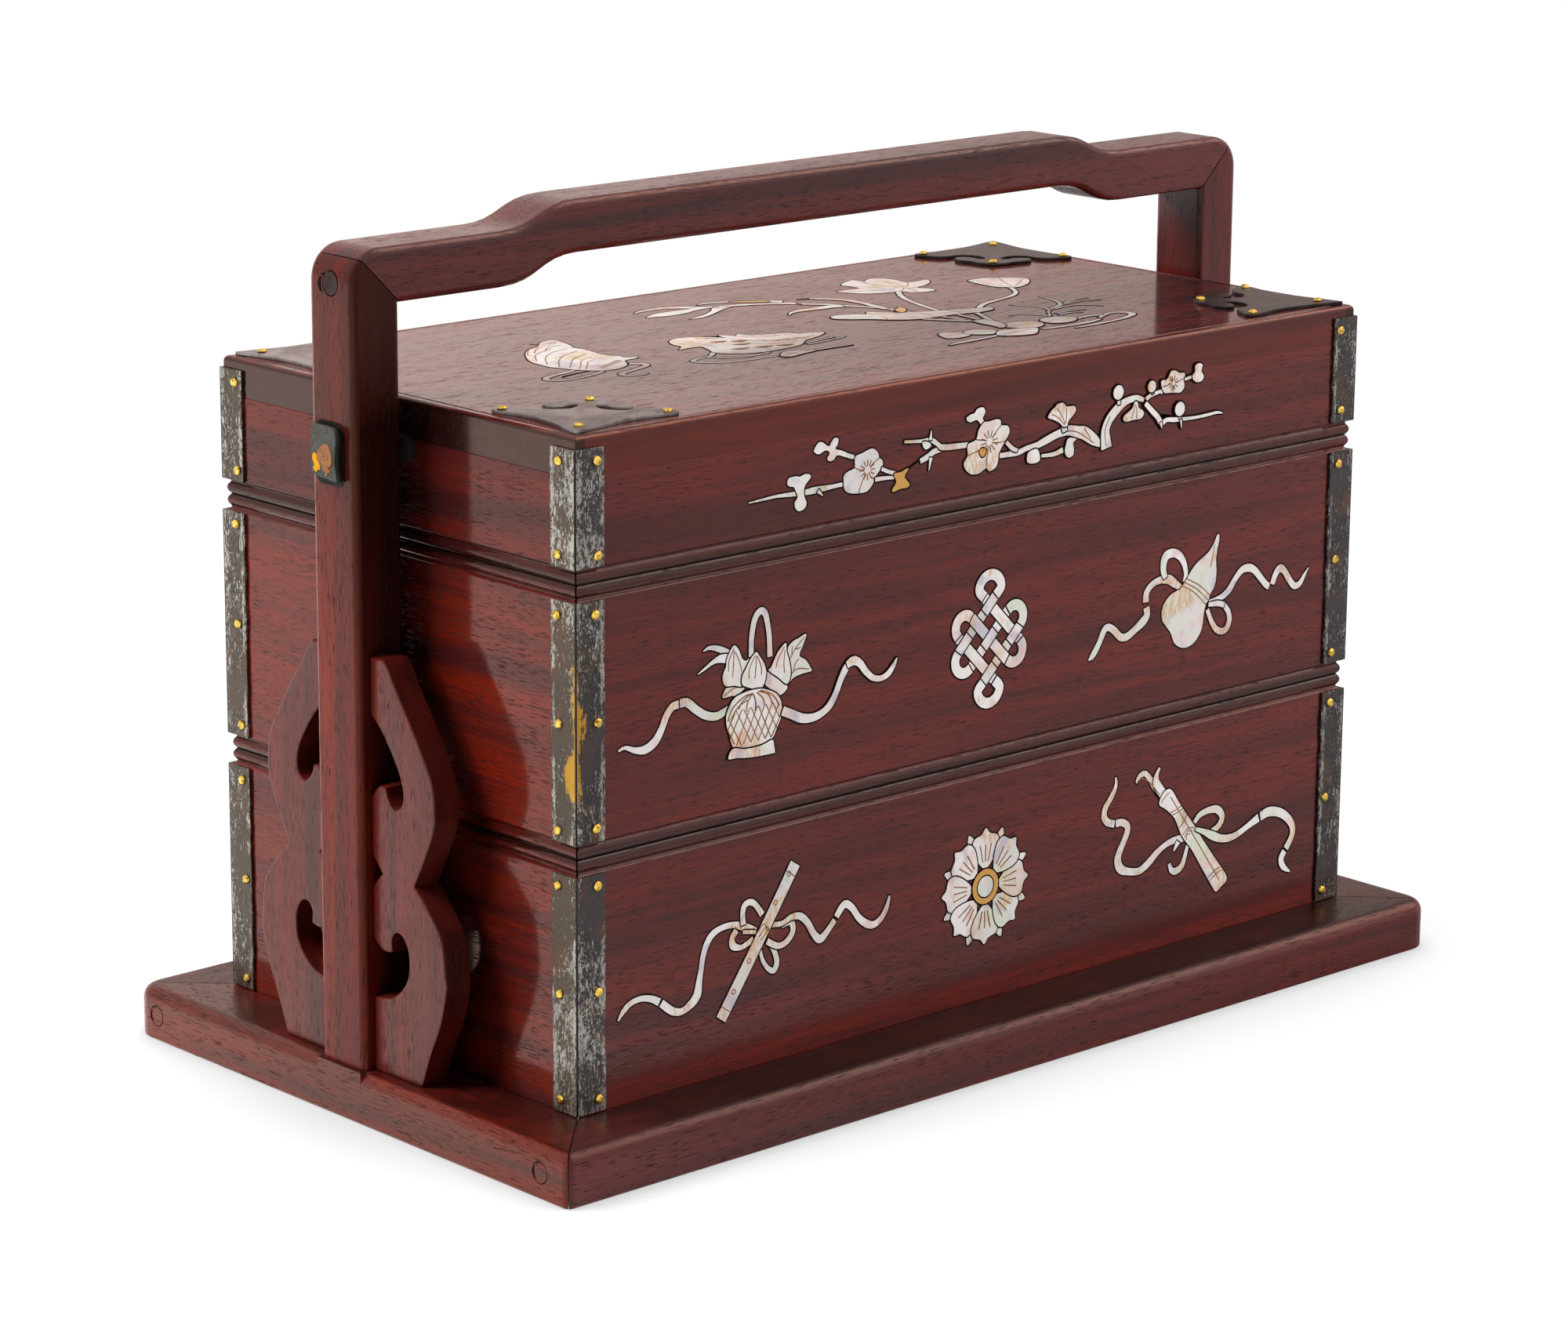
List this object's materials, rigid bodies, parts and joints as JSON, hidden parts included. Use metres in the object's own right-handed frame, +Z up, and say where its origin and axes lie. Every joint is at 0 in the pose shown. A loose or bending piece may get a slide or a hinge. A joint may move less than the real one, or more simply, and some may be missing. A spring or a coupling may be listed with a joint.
{
  "type": "picnic box",
  "caption": "Rectangular wooden picnic box: stacked tiers and a lid held in a footed frame with a humped carrying handle and locking pins.",
  "frame": {"origin": "centre of the base underside", "axes": "+X along the long side of the box, +Y from the front board to the back board, +Z up"},
  "size_m": [0.3626, 0.2028, 0.2572],
  "materials": {
    "rosewood": "semi-gloss, dark red-brown with fine dark pores",
    "frame_rosewood": "semi-gloss, brown-red and worn paler on the edges",
    "strap_metal": "mottled grey-brown patina with brass nail heads",
    "pin_metal": "dull grey-green patina"
  },
  "bodies": {
    "carrying_frame": {"base_front_rail": "frame_rosewood", "base_back_rail": "frame_rosewood", "base_left_rail": "frame_rosewood", "base_right_rail": "frame_rosewood", "base_cross_rail": "rosewood", "base_dowel_front_left": "rosewood", "base_dowel_back_left": "rosewood", "base_dowel_front_right": "rosewood", "base_dowel_back_right": "rosewood", "left_upright": "frame_rosewood", "right_upright": "frame_rosewood", "handle_rail": "frame_rosewood", "handle_dowel_left": "rosewood", "handle_dowel_right": "rosewood", "bracket_left_front": "frame_rosewood", "bracket_left_back": "frame_rosewood", "bracket_right_front": "frame_rosewood", "bracket_right_back": "frame_rosewood"},
    "bottom_tier": {"bottom_tier_front_board": "rosewood", "bottom_tier_back_board": "rosewood", "bottom_tier_left_board": "rosewood", "bottom_tier_right_board": "rosewood", "bottom_tier_floor": "rosewood", "bottom_tier_strap_front_left": "strap_metal", "bottom_tier_strap_front_right": "strap_metal", "bottom_tier_strap_back_right": "strap_metal", "bottom_tier_strap_back_left": "strap_metal"},
    "middle_tier": {"middle_tier_front_board": "rosewood", "middle_tier_back_board": "rosewood", "middle_tier_left_board": "rosewood", "middle_tier_right_board": "rosewood", "middle_tier_floor": "rosewood", "middle_tier_strap_front_left": "strap_metal", "middle_tier_strap_front_right": "strap_metal", "middle_tier_strap_back_right": "strap_metal", "middle_tier_strap_back_left": "strap_metal"},
    "lid": {"lid_front_board": "rosewood", "lid_back_board": "rosewood", "lid_left_board": "rosewood", "lid_right_board": "rosewood", "lid_top_board": "rosewood", "lid_strap_front_left": "strap_metal", "lid_strap_front_right": "strap_metal", "lid_strap_back_right": "strap_metal", "lid_strap_back_left": "strap_metal", "lid_corner_plate_front_left": "strap_metal", "lid_corner_plate_front_right": "strap_metal", "lid_corner_plate_back_right": "strap_metal", "lid_corner_plate_back_left": "strap_metal", "lid_socket_left": "pin_metal", "lid_socket_right": "pin_metal"},
    "left_pin": {"locking_pin_left": "pin_metal"},
    "right_pin": {"locking_pin_right": "pin_metal"}
  },
  "joints": [
    {"name": "bottom_tier_lift", "type": "slide", "parent": "carrying_frame", "child": "bottom_tier", "axis": [0, 0, 1], "range_m": [0, 0.006]},
    {"name": "middle_tier_lift", "type": "slide", "parent": "bottom_tier", "child": "middle_tier", "axis": [0, 0, 1], "range_m": [0, 0.006]},
    {"name": "lid_lift", "type": "slide", "parent": "middle_tier", "child": "lid", "axis": [0, 0, 1], "range_m": [0, 0.006]},
    {"name": "left_pin_pull", "type": "slide", "parent": "carrying_frame", "child": "left_pin", "axis": [-1, 0, 0], "range_m": [0, 0.054]},
    {"name": "right_pin_pull", "type": "slide", "parent": "carrying_frame", "child": "right_pin", "axis": [1, 0, 0], "range_m": [0, 0.054]}
  ],
  "couplings": [
    {"joint": "bottom_tier_lift", "follows": "lid_lift", "ratio": 1},
    {"joint": "middle_tier_lift", "follows": "lid_lift", "ratio": 1},
    {"joint": "left_pin_pull", "follows": "lid_lift", "ratio": 9},
    {"joint": "right_pin_pull", "follows": "lid_lift", "ratio": 9}
  ]
}
